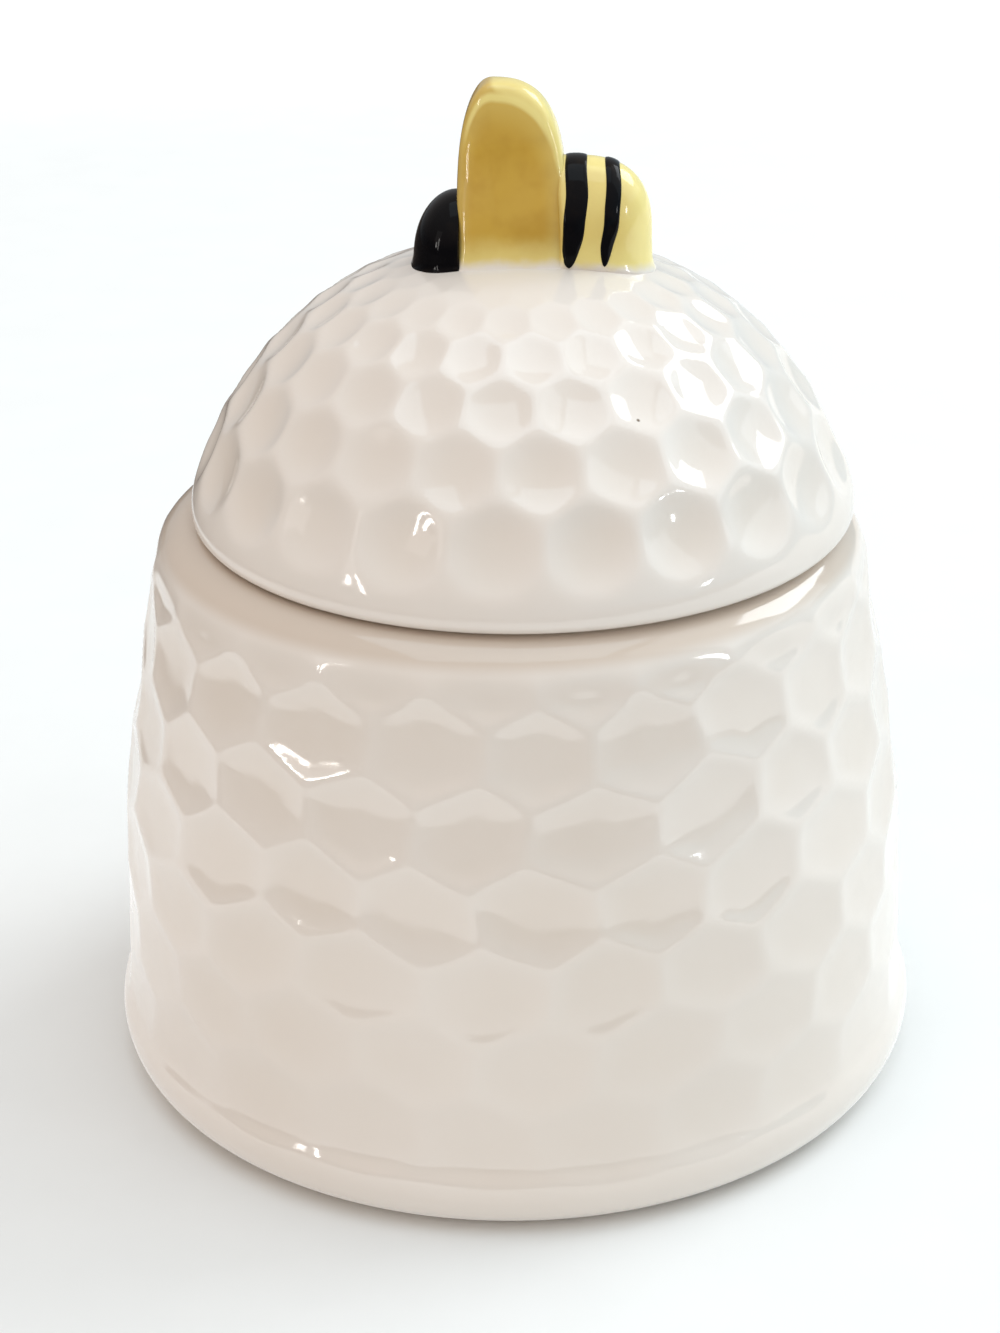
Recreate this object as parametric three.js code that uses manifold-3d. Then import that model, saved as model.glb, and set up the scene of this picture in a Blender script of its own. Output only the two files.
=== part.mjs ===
// Honey pot: a round glazed ceramic pot with honeycomb relief, and a lift-off domed lid with a bee knob.
// Millimetres, +Z up. The origin is on the floor at the centre of the foot. The bee faces -X.
import * as THREE from 'three';
import { mergeVertices } from 'three/addons/utils/BufferGeometryUtils.js';
import Module from 'manifold-3d';

// Pot, outside
const foot_radius = 50;
const foot_width = 6;
const foot_recess = 2;
const widest_radius = 55.6;
const widest_height = 6;
// The wall flares at its foot and leans in above its waist. It is a cubic curve, and shares place its
// two control points: out from the shoulder's radius to the widest one, and up the wall's rise.
const wall_first_out_share = 0.45;
const wall_first_up_share = 0.604;
const wall_second_out_share = 1.07;
const wall_second_up_share = 0.282;
const shoulder_round = 6.8;
const pot_height = 76.8;

// Pot, mouth and inside
const mouth_radius = 37.5;
const seat_width = 3;
const lip_round = 0.8;
const neck_depth = 4;
const neck_flare = 9;
const wall_thickness = 5.2;
const inner_bow = 1;
const floor_thickness = 5.5;
const inner_corner = 8;

// Lid
const seat_gap = 0.3;
const rim_overhang = 5.9;
const rim_round = 1.3;
const rim_band = 0.9;
const dome_rise = 31.6;
const dome_plan_power = 2.6;
const dome_rise_power = 1.33;
const lid_thickness = 4;
const flange_depth = 6;
const flange_thickness = 3.2;
const flange_round = 0.8;
const flange_clearance = 2.1;
// The lid lies against one side of its loose seat, at this share of the flange's clearance.
const lid_offset_share = 0.85;

// Honeycomb relief. Cells have a corner up, and each row is turned half a cell from the next.
const cells_round = 22;
const pot_cell_rows = 6;
const lid_cell_rows = 5;
const pot_cell_depth = 1.1;
const lid_cell_depth = 1.4;
// The pot's cells are shallowest in the row at the foot, and reach their depth after a few rows.
const pot_foot_depth_share = 0.45;
const pot_deepening_rows = 3.6;
// The pot's cells are flat-floored pans, and the lid's are rounder dimples.
const pot_dish_power = 2.9;
const lid_dish_power = 2.3;
const pot_relief_start = 10;
const pot_relief_end = 6;
const lid_relief_start = 1.6;
const lid_relief_top_share = 0.73;
const lid_row_shrink_share = 0.885;
const relief_turn = THREE.MathUtils.degToRad(3.1);

// Bee knob: three lumps pressed together on top of the dome
const bee_turn = THREE.MathUtils.degToRad(2);
const bee_gap = 0.3;
const bee_sink = 4;
const wing_height = 21.3;
const wing_rise = 15.2;
const wing_peak_offset = -2.6;
const wing_front = 4.9;
const wing_back = 8.35;
const wing_half_thickness = 4.6;
const thorax_half_thickness = 6.3;
const abdomen_height = 12.25;
const abdomen_rise = 10.35;
const abdomen_length = 10.95;
const abdomen_half_thickness = 6.6;
const head_height = 8;
const head_length = 5.7;
const head_half_thickness = 5.6;

// Facets
const columns = 2 * cells_round;
const cell_ring_share = 0.6;
// Where two dishes meet, the middle of their edge lies at this share of their depth.
const pot_edge_depth_share = 0.1;
const lid_edge_depth_share = 0.2;
const lump_steps = 32;
const lump_rings = 5;

const shoulder_radius = mouth_radius + seat_width + shoulder_round;
const seat_radius = mouth_radius + seat_width;
const shoulder_height = pot_height - shoulder_round;
const lid_radius = mouth_radius + rim_overhang;
const rim_height = pot_height + seat_gap;
const dome_base = rim_height + rim_round + rim_band;
const apex_height = dome_base + dome_rise;
const lid_offset = flange_clearance * lid_offset_share;

const wasm = await Module();
wasm.setup();

const glaze_white = new THREE.MeshStandardMaterial({ color: 0xf1eee8, roughness: 0.12, metalness: 0 });
const glaze_yellow = new THREE.MeshStandardMaterial({ color: 0xe3bf52, roughness: 0.14, metalness: 0 });
const glaze_black = new THREE.MeshStandardMaterial({ color: 0x0a0a0b, roughness: 0.1, metalness: 0 });

// A quarter of a superellipse in the plane of radius and height: from the widest point at its base,
// where the angle is zero, to its top on the axis. The powers square it or sharpen it.
class DomeCurve extends THREE.Curve {
  constructor(radius, base, rise) {
    super();
    this.radius = radius;
    this.base = base;
    this.rise = rise;
  }

  getPoint(share, target = new THREE.Vector2()) {
    const angle = (share * Math.PI) / 2;
    const radius = this.radius * Math.cos(angle) ** (2 / dome_plan_power);
    const height = this.rise * Math.sin(angle) ** (2 / dome_rise_power);
    return target.set(Math.max(radius, 0), this.base + height);
  }
}

// A closed mesh that is built ring by ring round the Z axis. Every ring has the same columns, and the
// rings are walked so that the solid lies to the left of the walk, with the outside on its right.
class TurnedMesh {
  constructor() {
    this.positions = [];
    this.triangles = [];
  }

  vertex(radius, height, column) {
    const turn = relief_turn + (column * 2 * Math.PI) / columns;
    this.positions.push(radius * Math.sin(turn), -radius * Math.cos(turn), height);
    return this.positions.length / 3 - 1;
  }

  ring(point) {
    return Array.from({ length: columns }, (_, column) => this.vertex(point.x, point.y, column));
  }

  stitch(from, to) {
    for (let k = 0; k < columns; k += 1) {
      const next = (k + 1) % columns;
      this.triangles.push(from[k], from[next], to[next], from[k], to[next], to[k]);
    }
  }

  fan(centre, ring, starts) {
    for (let k = 0; k < columns; k += 1) {
      const next = (k + 1) % columns;
      this.triangles.push(...(starts ? [centre, ring[next], ring[k]] : [ring[k], ring[next], centre]));
    }
  }

  // Walks a list of profile points, from the ring that the walk has reached.
  walk(points, from) {
    let reached = from;
    for (const point of points) {
      const ring = this.ring(point);
      if (reached) this.stitch(reached, ring);
      reached = ring;
    }
    return reached;
  }

  geometry() {
    const geometry = new THREE.BufferGeometry();
    geometry.setAttribute('position', new THREE.Float32BufferAttribute(this.positions, 3));
    geometry.setIndex(this.triangles);
    return mergeVertices(geometry);
  }
}

// The point at a distance along a profile curve, pressed in by a depth square to the curve.
function profilePoint(curve, distance, depth) {
  const share = THREE.MathUtils.clamp(distance / curve.getLength(), 0, 1);
  const point = curve.getPointAt(share);
  const tangent = curve.getTangentAt(share);
  return new THREE.Vector2(point.x - depth * tangent.y, point.y + depth * tangent.x);
}

// Lays rows of six-sided dishes on a profile curve. Heights are counted in rows, so that a cell
// reaches 2/3 of a row up and down from its centre, and its upright sides end at 1/3 of a row.
// distanceOf turns a height in rows into a distance along the curve. The corners lie on the plain
// curve, and an edge that two dishes share dips between them. Returns the zigzag of corners below
// the first row and the one above the last row.
function layCells(mesh, { curve, rows, distanceOf, depthOf, dish_power, edge_share, firstTurn }) {
  const shared = new Map();
  const thirds = 3;
  const cornerOffsets = [[0, -2], [1, -1], [1, 1], [0, 2], [-1, 1], [-1, -1]];

  function sharedPoint(column, third, depthShare) {
    const wrapped = (column + 2 * columns) % columns;
    const key = `${wrapped},${third}`;
    if (!shared.has(key)) {
      const height = third / thirds;
      const point = profilePoint(curve, distanceOf(height), depthShare * depthOf(height));
      shared.set(key, mesh.vertex(point.x, point.y, wrapped));
    }
    return shared.get(key);
  }

  const corner = (column, third) => sharedPoint(column, third, 0);
  const outermost = (third) => third < -1 || third > (rows - 1) * thirds + 1;

  for (let row = 0; row < rows; row += 1) {
    for (let cell = 0; cell < cells_round; cell += 1) {
      const column = 2 * cell + ((row + firstTurn) % 2);
      const depth = depthOf(row);
      const middle = profilePoint(curve, distanceOf(row), depth);
      const centre = mesh.vertex(middle.x, middle.y, column);
      const ring = cornerOffsets.map(([side, third]) => {
        const height = row + (cell_ring_share * third) / thirds;
        const pressed = depth * (1 - cell_ring_share ** dish_power);
        const point = profilePoint(curve, distanceOf(height), pressed);
        return mesh.vertex(point.x, point.y, column + cell_ring_share * side);
      });
      const edge = cornerOffsets.map(([side, third]) => corner(column + side, row * thirds + third));
      for (let k = 0; k < ring.length; k += 1) {
        const next = (k + 1) % ring.length;
        const side = (cornerOffsets[k][0] + cornerOffsets[next][0]) / 2;
        const third = row * thirds + (cornerOffsets[k][1] + cornerOffsets[next][1]) / 2;
        mesh.triangles.push(centre, ring[k], ring[next]);
        if (outermost(third)) {
          mesh.triangles.push(ring[k], edge[k], edge[next], ring[k], edge[next], ring[next]);
        } else {
          const middleOfEdge = sharedPoint(column + side, third, edge_share);
          mesh.triangles.push(ring[k], edge[k], middleOfEdge, middleOfEdge, edge[next], ring[next]);
          mesh.triangles.push(ring[k], middleOfEdge, ring[next]);
        }
      }
    }
  }

  const zigzag = (row, upwards) => Array.from({ length: columns }, (_, column) => {
    const tip = (column + row + firstTurn) % 2 === 0;
    return corner(column, row * thirds + (upwards ? 1 : -1) * (tip ? 2 : 1));
  });
  return { lower: zigzag(0, false), upper: zigzag(rows - 1, true) };
}

function makePot() {
  // Outside: a rounded base corner, a wall that flares and leans in, and a quarter-round shoulder.
  const outside = new THREE.Path();
  outside.moveTo(foot_radius, 0);
  outside.bezierCurveTo(
    (foot_radius + widest_radius) / 2, 0,
    widest_radius, widest_height / 3,
    widest_radius, widest_height,
  );
  const wall_rise = shoulder_height - widest_height;
  const wall_lean = widest_radius - shoulder_radius;
  outside.bezierCurveTo(
    shoulder_radius + wall_lean * wall_first_out_share, widest_height + wall_rise * wall_first_up_share,
    shoulder_radius + wall_lean * wall_second_out_share, widest_height + wall_rise * wall_second_up_share,
    shoulder_radius, shoulder_height,
  );
  outside.absarc(seat_radius, shoulder_height, shoulder_round, 0, Math.PI / 2, false);
  const length = outside.getLength();

  const start = pot_relief_start;
  const end = length - (Math.PI / 2) * shoulder_round + (shoulder_round - pot_relief_end);
  const cell_reach = 2 / 3;
  const pitch = (end - start) / (pot_cell_rows - 1 + 2 * cell_reach);

  const mesh = new TurnedMesh();
  const base_steps = 4;
  const underside = [
    new THREE.Vector2(foot_radius - foot_width - foot_recess, foot_recess),
    new THREE.Vector2(foot_radius - foot_width, 0),
  ];
  const base_centre = mesh.vertex(0, foot_recess, 0);
  const first = mesh.ring(underside[0]);
  mesh.fan(base_centre, first, true);
  let reached = mesh.walk(underside.slice(1), first);
  const corner = Array.from({ length: base_steps + 1 }, (_, k) => (
    profilePoint(outside, (start * k) / (base_steps + 1), 0)));
  reached = mesh.walk(corner, reached);

  const cells = layCells(mesh, {
    curve: outside,
    rows: pot_cell_rows,
    distanceOf: (height) => start + pitch * (height + cell_reach),
    depthOf: (row) => pot_cell_depth * Math.min(1, THREE.MathUtils.lerp(
      pot_foot_depth_share, 1, Math.max(row, 0) / pot_deepening_rows)),
    dish_power: pot_dish_power,
    edge_share: pot_edge_depth_share,
    firstTurn: 1,
  });
  mesh.stitch(reached, cells.lower);

  // Shoulder, seat and lip, then down the neck and the inside of the wall to the floor.
  const shoulder_steps = 5;
  const shoulder = Array.from({ length: shoulder_steps }, (_, k) => (
    profilePoint(outside, end + ((length - end) * (k + 1)) / shoulder_steps, 0)));
  reached = mesh.walk(shoulder, cells.upper);

  const floor_height = foot_recess + floor_thickness;
  const inner_base = widest_radius - wall_thickness;
  const inner_shoulder = shoulder_radius - wall_thickness;
  const neck_end = pot_height - lip_round - neck_depth;
  const flare_end = neck_end - neck_flare;
  const lip = new THREE.Path();
  lip.absarc(mouth_radius + lip_round, pot_height - lip_round, lip_round, Math.PI / 2, Math.PI, false);
  const neck = new THREE.Path();
  neck.moveTo(mouth_radius, neck_end);
  neck.bezierCurveTo(
    mouth_radius, neck_end - neck_flare / 2,
    inner_shoulder, flare_end + neck_flare / 2,
    inner_shoulder, flare_end,
  );
  const inside = new THREE.Path();
  inside.moveTo(inner_shoulder, flare_end);
  inside.bezierCurveTo(
    (inner_base + inner_shoulder) / 2 + inner_bow, (flare_end + floor_height) / 2,
    inner_base, floor_height + 2 * inner_corner,
    inner_base, floor_height + inner_corner,
  );
  const cove = new THREE.Path();
  cove.absarc(inner_base - inner_corner, floor_height + inner_corner, inner_corner, 0, -Math.PI / 2, true);
  reached = mesh.walk(lip.getSpacedPoints(2), reached);
  reached = mesh.walk(neck.getSpacedPoints(5), reached);
  reached = mesh.walk(inside.getSpacedPoints(5).slice(1), reached);
  reached = mesh.walk(cove.getSpacedPoints(5).slice(1), reached);
  mesh.fan(mesh.vertex(0, floor_height, 0), reached, false);
  return mesh.geometry();
}

function makeLid() {
  const flange_radius = mouth_radius - flange_clearance;
  const flange_inner = flange_radius - flange_thickness;
  const flange_base = rim_height - flange_depth;
  const hollow = new DomeCurve(lid_radius - lid_thickness, dome_base, dome_rise - lid_thickness);
  const dome = new DomeCurve(lid_radius, dome_base, dome_rise);

  // Inside, from the top of the hollow down to the foot of the flange.
  const mesh = new TurnedMesh();
  const hollow_steps = 8;
  const hollow_foot_share = 0.1;
  const down = Array.from({ length: hollow_steps }, (_, k) => (
    hollow.getPointAt(1 - ((1 - hollow_foot_share) * (k + 1)) / hollow_steps)));
  const first = mesh.ring(down[0]);
  mesh.fan(mesh.vertex(0, dome_base + dome_rise - lid_thickness, 0), first, true);
  let reached = mesh.walk(down.slice(1), first);
  const hollow_foot = down.at(-1);
  const throat = new THREE.Path();
  throat.moveTo(hollow_foot.x, hollow_foot.y);
  throat.bezierCurveTo(
    hollow_foot.x, (hollow_foot.y + dome_base) / 2,
    flange_inner, dome_base,
    flange_inner, rim_height,
  );
  reached = mesh.walk(throat.getSpacedPoints(4).slice(1), reached);

  // Flange, flat underside of the rim, and the rounded rim.
  const downwards = 1.5 * Math.PI;
  const outwards = 2 * Math.PI;
  const edge_height = flange_base + flange_round;
  const rim_middle = lid_radius - rim_round;
  const foot = new THREE.Path();
  foot.moveTo(flange_inner, edge_height);
  foot.absarc(flange_inner + flange_round, edge_height, flange_round, Math.PI, downwards, false);
  foot.lineTo(flange_radius - flange_round, flange_base);
  foot.absarc(flange_radius - flange_round, edge_height, flange_round, downwards, outwards, false);
  foot.lineTo(flange_radius, rim_height);
  foot.lineTo(rim_middle, rim_height);
  foot.absarc(rim_middle, rim_height + rim_round, rim_round, downwards, outwards, false);
  foot.lineTo(lid_radius, dome_base);
  reached = mesh.walk(foot.getPoints(2), reached);

  // Dome: the rows shrink towards the top, each by the same share of the row below.
  const length = dome.getLength();
  const start = lid_relief_start;
  const end = length * lid_relief_top_share;
  const shrink = lid_row_shrink_share;
  const cell_reach = 2 / 3;
  const lowest = shrink ** -cell_reach;
  const highest = shrink ** (lid_cell_rows - 1 + cell_reach);
  const distanceOf = (height) => start + ((end - start) * (lowest - shrink ** height)) / (lowest - highest);
  const cells = layCells(mesh, {
    curve: dome,
    rows: lid_cell_rows,
    distanceOf,
    depthOf: (row) => (lid_cell_depth * profilePoint(dome, distanceOf(row), 0).x) / lid_radius,
    dish_power: lid_dish_power,
    edge_share: lid_edge_depth_share,
    firstTurn: 1,
  });
  mesh.stitch(reached, cells.lower);
  const cap_steps = 3;
  const cap = Array.from({ length: cap_steps }, (_, k) => (
    profilePoint(dome, end + ((length - end) * (k + 1)) / (cap_steps + 1), 0)));
  reached = mesh.walk(cap, cells.upper);
  mesh.fan(mesh.vertex(0, apex_height, 0), reached, false);
  return mesh.geometry();
}

function toSolid(geometry) {
  const bare = geometry.clone();
  bare.deleteAttribute('normal');
  bare.deleteAttribute('uv');
  const merged = mergeVertices(bare);
  return new wasm.Manifold(new wasm.Mesh({
    numProp: 3,
    vertProperties: new Float32Array(merged.attributes.position.array),
    triVerts: new Uint32Array(merged.index.array),
  }));
}

function toGeometry(solid) {
  const { vertProperties, triVerts } = solid.getMesh();
  const geometry = new THREE.BufferGeometry();
  geometry.setAttribute('position', new THREE.BufferAttribute(new Float32Array(vertProperties), 3));
  geometry.setIndex(new THREE.BufferAttribute(new Uint32Array(triVerts), 1));
  return geometry;
}

// A pressed lump: an outline in the plane of X and Z, swollen to a thickness along Y. Each outline
// point is drawn in towards the centre as the surface moves out to its near and far side, and the
// power makes the sides flatter and the edge tighter.
function makeLump({ centre, outline, halfThickness, power }) {
  const positions = [];
  const triangles = [];
  const rings = 2 * lump_rings + 1;
  for (let ring = 0; ring < rings; ring += 1) {
    const angle = ((ring + 1) / (rings + 1) - 0.5) * Math.PI;
    const reach = Math.cos(angle) ** (2 / power);
    const out = Math.sign(angle) * Math.abs(Math.sin(angle)) ** (2 / power);
    for (let step = 0; step < lump_steps; step += 1) {
      const point = outline((step * 2 * Math.PI) / lump_steps);
      const x = centre.x + (point.x - centre.x) * reach;
      const z = centre.y + (point.y - centre.y) * reach;
      positions.push(x, out * halfThickness(z), z);
    }
  }
  const near = positions.length / 3;
  positions.push(centre.x, -halfThickness(centre.y), centre.y);
  positions.push(centre.x, halfThickness(centre.y), centre.y);
  for (let step = 0; step < lump_steps; step += 1) {
    const next = (step + 1) % lump_steps;
    triangles.push(near, step, next);
    for (let ring = 0; ring < rings - 1; ring += 1) {
      const low = ring * lump_steps;
      const high = low + lump_steps;
      triangles.push(low + step, high + step, high + next, low + step, high + next, low + next);
    }
    const last = (rings - 1) * lump_steps;
    triangles.push(last + step, near + 1, last + next);
  }
  const geometry = new THREE.BufferGeometry();
  geometry.setAttribute('position', new THREE.Float32BufferAttribute(positions, 3));
  geometry.setIndex(triangles);
  return geometry;
}

// A closed outline of four quarter superellipses round a centre, with its own reach to each side.
// A high power makes a quarter boxy, and 2 makes it an ellipse.
function quarteredOutline(centre, { back, front, up, down, upperPower, lowerPower }) {
  return (angle) => {
    const cos = Math.cos(angle);
    const sin = Math.sin(angle);
    const power = sin > 0 ? upperPower : lowerPower;
    const bend = (value) => Math.sign(value) * Math.abs(value) ** (2 / power);
    const x = centre.x + (cos > 0 ? back : front) * bend(cos);
    return new THREE.Vector2(x, centre.y + (sin > 0 ? up : down) * bend(sin));
  };
}

// Keeps what lies between two upright planes, and clear of the dome that the bee stands on.
function trimToSeat(geometry, fromX, toX) {
  const height = wing_height + 2 * bee_sink;
  const block = new THREE.BoxGeometry(toX - fromX, 2 * lid_radius, height);
  block.translate((fromX + toX) / 2, 0, height / 2 - bee_sink);
  const dome = new DomeCurve(lid_radius + bee_gap, -dome_rise, dome_rise + bee_gap);
  const dome_steps = 24;
  const profile = [new THREE.Vector2(0, -dome_rise), ...dome.getSpacedPoints(dome_steps)];
  profile.at(-1).x = 0;
  const turned = new THREE.LatheGeometry(profile, columns);
  turned.rotateX(Math.PI / 2);
  const seat = toSolid(turned);
  return toGeometry(toSolid(geometry).intersect(toSolid(block)).subtract(seat));
}

// The bee's lumps are drawn round the point where the dome's axis meets its top.
const wings_front_x = wing_peak_offset - wing_front;
const wings_back_x = wing_peak_offset + wing_back;

function makeWings() {
  const centre = new THREE.Vector2(wing_peak_offset, wing_height - wing_rise);
  const outline = quarteredOutline(centre, {
    back: wing_back,
    front: wing_front,
    up: wing_rise,
    down: centre.y + bee_sink,
    upperPower: 2.5,
    lowerPower: 9,
  });
  const blend = (z) => THREE.MathUtils.smoothstep(z, 0, wing_rise);
  const lump = makeLump({
    centre,
    outline,
    halfThickness: (z) => THREE.MathUtils.lerp(thorax_half_thickness, wing_half_thickness, blend(z)),
    power: 11,
  });
  return trimToSeat(lump, wings_front_x, wings_back_x);
}

function makeAbdomen() {
  const centre = new THREE.Vector2(wings_back_x, abdomen_height - abdomen_rise);
  const outline = quarteredOutline(centre, {
    back: abdomen_length,
    front: abdomen_length,
    up: abdomen_rise,
    down: centre.y + bee_sink,
    upperPower: 2.8,
    lowerPower: 9,
  });
  const lump = makeLump({ centre, outline, halfThickness: () => abdomen_half_thickness, power: 2.1 });
  return trimToSeat(lump, wings_back_x + bee_gap, wings_back_x + abdomen_length);
}

function makeHead() {
  const centre = new THREE.Vector2(wings_front_x, 0);
  const outline = quarteredOutline(centre, {
    back: head_length,
    front: head_length,
    up: head_height,
    down: bee_sink,
    upperPower: 1.75,
    lowerPower: 6,
  });
  const lump = makeLump({ centre, outline, halfThickness: () => head_half_thickness, power: 2.2 });
  return trimToSeat(lump, wings_front_x - head_length, wings_front_x - bee_gap);
}

function named(name, geometry, material) {
  const mesh = new THREE.Mesh(geometry, material);
  mesh.name = name;
  return mesh;
}

const pot = new THREE.Group();
pot.add(named('pot_body', makePot(), glaze_white));

const lid = new THREE.Group();
lid.position.x = lid_offset;
lid.add(named('lid', makeLid(), glaze_white));

const bee = new THREE.Group();
bee.position.z = apex_height;
bee.rotation.z = bee_turn;
bee.add(named('bee_wings', makeWings(), glaze_yellow));
bee.add(named('bee_abdomen', makeAbdomen(), glaze_yellow));
bee.add(named('bee_head', makeHead(), glaze_black));
lid.add(bee);

const honeyPot = new THREE.Group();
honeyPot.add(pot, lid);

export default honeyPot;
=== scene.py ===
"""Honey pot: glazed honeycomb pot, dimpled dome lid and bee knob, as smooth glazed surfaces."""

import math

import bpy
import numpy as np
from bpy.props import FloatProperty, FloatVectorProperty, IntProperty, PointerProperty
from mathutils import Matrix, Vector


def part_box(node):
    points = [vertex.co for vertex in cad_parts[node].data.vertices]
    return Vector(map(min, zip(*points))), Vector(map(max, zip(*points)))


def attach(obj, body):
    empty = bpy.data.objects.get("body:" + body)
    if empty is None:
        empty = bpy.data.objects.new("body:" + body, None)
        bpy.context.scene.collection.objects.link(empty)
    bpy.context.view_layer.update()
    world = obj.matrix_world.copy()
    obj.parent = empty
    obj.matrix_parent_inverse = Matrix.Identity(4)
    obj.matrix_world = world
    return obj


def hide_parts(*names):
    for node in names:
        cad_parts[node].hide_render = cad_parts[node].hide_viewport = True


bl_info = {
    "name": "Honey Pot",
    "version": (1, 0, 0),
    "blender": (4, 5, 0),
    "location": "View3D > Sidebar > Honey Pot",
    "description": "Makes a glazed honey pot with honeycomb relief, a domed lid and a bee knob",
    "category": "Add Mesh",
}

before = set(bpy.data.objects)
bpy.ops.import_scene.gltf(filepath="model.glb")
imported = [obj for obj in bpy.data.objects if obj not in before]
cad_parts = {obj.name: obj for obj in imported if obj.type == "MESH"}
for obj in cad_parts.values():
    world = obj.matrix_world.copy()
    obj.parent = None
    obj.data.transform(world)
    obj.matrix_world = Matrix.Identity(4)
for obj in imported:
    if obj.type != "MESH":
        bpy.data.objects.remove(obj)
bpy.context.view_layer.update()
pot_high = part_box("pot_body")[1]
lid_low, lid_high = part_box("lid")

MM = 0.001
FULL_TURN = 2 * math.pi
QUARTER_TURN = math.pi / 2
# The lid lies off the pot's axis by this much, against one side of its loose seat.
LID_AXIS = (lid_low.x + lid_high.x) / 2


def lengths(rows):
    """Length properties, which are held in metres, from rows such as those below."""
    return {key: FloatProperty(name=key.replace("_", " ").title(), description=about,
                               default=default * MM, min=0.0, unit="LENGTH", precision=5)
            for key, about, default in rows}


def colour(name, description, default):
    """A colour property in linear red, green and blue."""
    return FloatVectorProperty(name=name, description=description, default=default, size=3,
                               min=0.0, max=1.0, subtype="COLOR")


# Lengths in millimetres: key, description and default
LENGTHS = (
    ("pot_height", "Height of the seat in the pot's mouth", pot_high.z / MM),
    ("widest_radius", "Radius of the pot just above its foot", 55.6),
    ("widest_height", "Height at which the pot is widest", 6),
    ("foot_radius", "Outer radius of the flat foot ring", 50),
    ("foot_width", "Width of the flat foot ring", 6),
    ("foot_groove", "Depth of the soft groove over the foot", 0.75),
    ("foot_recess", "Depth of the base inside the foot ring", 2),
    ("inner_bow", "How far the hollow bows out between floor and neck", 1),
    ("shoulder_round", "Radius of the rounded shoulder", 6.8),
    ("mouth_radius", "Radius of the pot's mouth", 37.5),
    ("seat_width", "Width of the flat seat round the mouth", 3),
    ("lip_round", "Radius of the seat's inner edge", 0.8),
    ("neck_depth", "Straight depth of the mouth", 4),
    ("neck_flare", "Depth over which the neck widens to the wall", 9),
    ("wall_thickness", "Thickness of the pot's wall", 5.2),
    ("floor_thickness", "Thickness of the pot's floor", 5.5),
    ("inner_corner", "Radius between the floor and the wall inside", 8),
    ("pot_relief", "Depth of the pot's honeycomb cells", 0.95),
    ("lid_relief", "Depth of the lid's lowest dimples", 1.35),
    ("lid_radius", "Radius of the lid at its rim", (lid_high.x - lid_low.x) / 2 / MM),
    ("rim_round", "Radius of the lid's rounded rim", 1.3),
    ("rim_band", "Plain band above the rounded rim", 0.9),
    ("lid_thickness", "Thickness of the lid's wall", 4),
    ("flange_depth", "How far the flange drops into the mouth", 6),
    ("flange_thickness", "Thickness of the flange", 3.2),
    ("flange_round", "Radius of the flange's lower edges", 0.8),
    ("flange_clearance", "Gap between the flange and the mouth", 2.1),
    ("wing_height", "Height of the wings over the dome", 21.95),
    ("wing_front", "From the wings' peak to their leading edge", 5.2),
    ("wing_back", "From the wings' peak to their trailing edge", 8.55),
    ("wing_peak_offset", "How far the wings' peak is ahead of the middle", 2.6),
    ("wing_rise", "Height of the arched part of the wings", 16),
    ("wing_half_thickness", "Half the thickness of the wings", 3.3),
    ("thorax_half_width", "Half the width of the bee under the wings", 6.3),
    ("abdomen_height", "Height of the abdomen over the dome", 12.25),
    ("abdomen_rise", "Height of the abdomen's arched part", 10.35),
    ("abdomen_length", "From the wings to the tail", 10.7),
    ("abdomen_half_width", "Half the width of the abdomen", 6.6),
    ("head_height", "Height of the head over the dome", 8),
    ("head_length", "From the wings to the front of the head", 5.6),
    ("head_half_width", "Half the width of the head", 6.3),
    ("stripe_width", "Width of the painted bands at their widest", 2.4),
    ("stripe_rise", "How far the painted bands stand proud", 0.22),
)


class HoneyPotSizes(bpy.types.PropertyGroup):
    """Sizes of the pot, the lid and the bee, in metres, and the numbers of their cells."""

    cells_round: IntProperty(name="Cells Round", description="Honeycomb cells in one row",
                             default=22, min=8, max=48)
    pot_rows: IntProperty(name="Pot Rows", description="Whole rows of cells on the pot", default=6,
                          min=1, max=12)
    lid_rows: IntProperty(name="Lid Rows", description="Rows of dimples on the lid", default=5,
                          min=1, max=12)
    __annotations__.update(lengths(LENGTHS))


class HoneyPotGlazes(bpy.types.PropertyGroup):
    """Colours of the glazes and the bare clay."""

    white: colour("White Glaze", "Ivory white glaze where it is thin", (0.775, 0.725, 0.67))
    # The pooled colour also darkens the cells' hollows as painted shade.
    pooled_and_shade: colour("Pooled Glaze", "White glaze where it pools in the cells", (0.69, 0.61, 0.52))
    bare_clay: colour("Bare Clay", "Unglazed clay on the foot and the flange", (0.72, 0.63, 0.52))
    gold: colour("Gold Glaze", "Yellow glaze on the faces of the bee", (0.55, 0.335, 0.045))
    amber: colour("Amber Glaze", "Yellow glaze where it is thick", (0.43, 0.235, 0.022))
    # Straw also paints light on the wings' upper back and a highlight along their ridge.
    straw: colour("Straw Glaze", "Yellow glaze where it breaks thin", (0.85, 0.73, 0.28))
    black: colour("Black Glaze", "Black glaze on the head and the bands", (0.004, 0.004, 0.005))
    gloss: FloatProperty(name="Glaze Roughness", description="Roughness of the fired glaze",
                         default=0.07, min=0.0, max=1.0, subtype="FACTOR")


# The wall is a cubic curve. Each control point is a share of the way from the shoulder's radius out
# to the widest one, and a share of the wall's rise.
WALL_CONTROLS = ((0.45, 0.604), (1.07, 0.282))
# The dome is a superellipse, with one power for its radius and one for its height.
DOME_PLAN_POWER = 2.6
DOME_RISE_POWER = 1.33
DOME_STEPS = 400

# Columns of points across a cell, and spacings of points along the profiles
COLUMNS_PER_CELL = 20
POT_SPACING = 0.64 * MM
DOME_SPACING = 0.62 * MM
HOLLOW_SPACING = 1.6 * MM

# How far the honeycomb is turned, and how far a cell reaches from its middle, in rows
RELIEF_TURN = math.radians(3.1)
CELL_REACH = 2 / 3

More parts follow.
